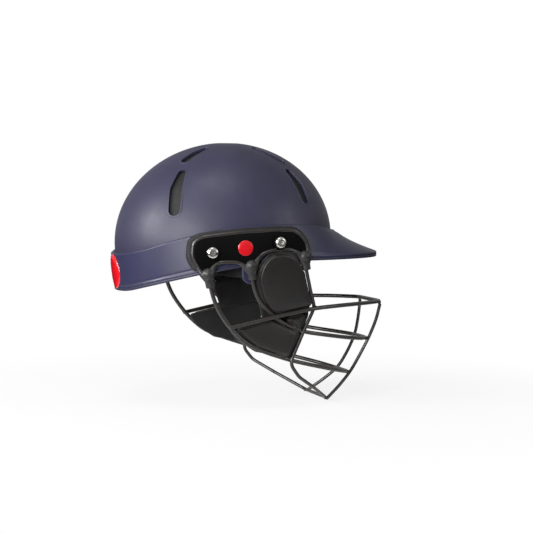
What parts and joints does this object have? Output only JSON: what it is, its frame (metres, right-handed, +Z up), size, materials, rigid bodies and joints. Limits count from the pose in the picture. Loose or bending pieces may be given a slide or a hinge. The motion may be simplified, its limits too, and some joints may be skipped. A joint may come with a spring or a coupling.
{
  "type": "cricket helmet",
  "caption": "Batting helmet with a vented hard dome, a peaked lower shell, side plates and a height-adjustable welded steel face guard with cheek pads and a chin strap",
  "frame": {"origin": "middle of the dome's widest ring, where the wearer's head sits", "axes": "+Z up, -Y to the front where the face looks, +X to the wearer's left"},
  "size_m": [0.2316, 0.3054, 0.2871],
  "materials": {
    "dome_shell_plastic": "matte",
    "lower_shell_plastic": "satin",
    "trim_black": "matte",
    "badge_red": "gloss",
    "mesh_grey": "matte",
    "foam_charcoal": "matte",
    "towelling_black": "matte",
    "zinc_steel": "satin",
    "nickel": "polished",
    "black_nickel": "gloss",
    "wire_steel": "satin",
    "webbing_black": "matte",
    "buckle_black": "satin",
    "rubber_black": "matte",
    "plate_black": "gloss",
    "pad_skin": "satin"
  },
  "bodies": {
    "helmet": {"dome_shell": "dome_shell_plastic", "lower_shell": "lower_shell_plastic", "crown_disc": "trim_black", "peak_trim": "trim_black", "rear_trim": "trim_black", "rear_badge": "badge_red", "vent_mesh": "mesh_grey", "foam_liner": "foam_charcoal", "front_sweatband": "towelling_black", "rear_comfort_pad": "towelling_black", "crown_pad": "towelling_black", "side_comfort_pad_left": "towelling_black", "side_comfort_pad_right": "towelling_black", "gasket_left": "rubber_black", "gasket_right": "rubber_black", "tee_nuts": "zinc_steel", "plate_washers": "black_nickel", "strap_rivets": "nickel"},
    "face_guard": {"side_plate_left": "plate_black", "side_plate_right": "plate_black", "side_frame_left": "wire_steel", "side_frame_right": "wire_steel", "boots_left": "rubber_black", "boots_right": "rubber_black", "side_badge_left": "badge_red", "side_badge_right": "badge_red", "upper_cheek_pad_left": "pad_skin", "upper_cheek_pad_right": "pad_skin", "front_cheek_pad_left": "pad_skin", "front_cheek_pad_right": "pad_skin", "lower_cheek_pad_left": "pad_skin", "lower_cheek_pad_right": "pad_skin", "upper_cheek_liner_left": "towelling_black", "upper_cheek_liner_right": "towelling_black", "lower_cheek_liner_left": "towelling_black", "lower_cheek_liner_right": "towelling_black", "low_bar": "wire_steel", "middle_bar": "wire_steel", "front_wire": "wire_steel", "top_bar": "wire_steel", "uprights": "wire_steel"},
    "chin_strap": {"chin_strap_short": "webbing_black", "chin_strap_long": "webbing_black", "buckle_socket": "buckle_black", "buckle_plug": "buckle_black", "strap_slider": "buckle_black", "chin_cup": "rubber_black"},
    "front_plate_screw_left_body": {"front_plate_screw_left": "nickel"},
    "rear_plate_screw_left_body": {"rear_plate_screw_left": "nickel"},
    "front_plate_screw_right_body": {"front_plate_screw_right": "nickel"},
    "rear_plate_screw_right_body": {"rear_plate_screw_right": "nickel"}
  },
  "joints": [
    {"name": "guard_height", "type": "slide", "parent": "helmet", "child": "face_guard", "axis": [0, 0, 1], "range_m": [-0.004, 0.001]},
    {"name": "front_screw_turn_left", "type": "hinge", "parent": "helmet", "child": "front_plate_screw_left_body", "pos_m": [0.10736, -0.0313, 0.0001], "axis": [0.9907, -0.1361, 0], "continuous": true},
    {"name": "rear_screw_turn_left", "type": "hinge", "parent": "helmet", "child": "rear_plate_screw_left_body", "pos_m": [0.10574, 0.0414, -0.0098], "axis": [0.9837, 0.18, 0], "continuous": true},
    {"name": "front_screw_turn_right", "type": "hinge", "parent": "helmet", "child": "front_plate_screw_right_body", "pos_m": [-0.10736, -0.0313, 0.0001], "axis": [-0.9907, -0.1361, 0], "continuous": true},
    {"name": "rear_screw_turn_right", "type": "hinge", "parent": "helmet", "child": "rear_plate_screw_right_body", "pos_m": [-0.10574, 0.0414, -0.0098], "axis": [-0.9837, 0.18, 0], "continuous": true},
    {"name": "chin_strap_swing", "type": "hinge", "parent": "helmet", "child": "chin_strap", "pos_m": [0, -0.018, -0.034], "axis": [-1, 0, 0], "range_deg": [0, 110]}
  ]
}
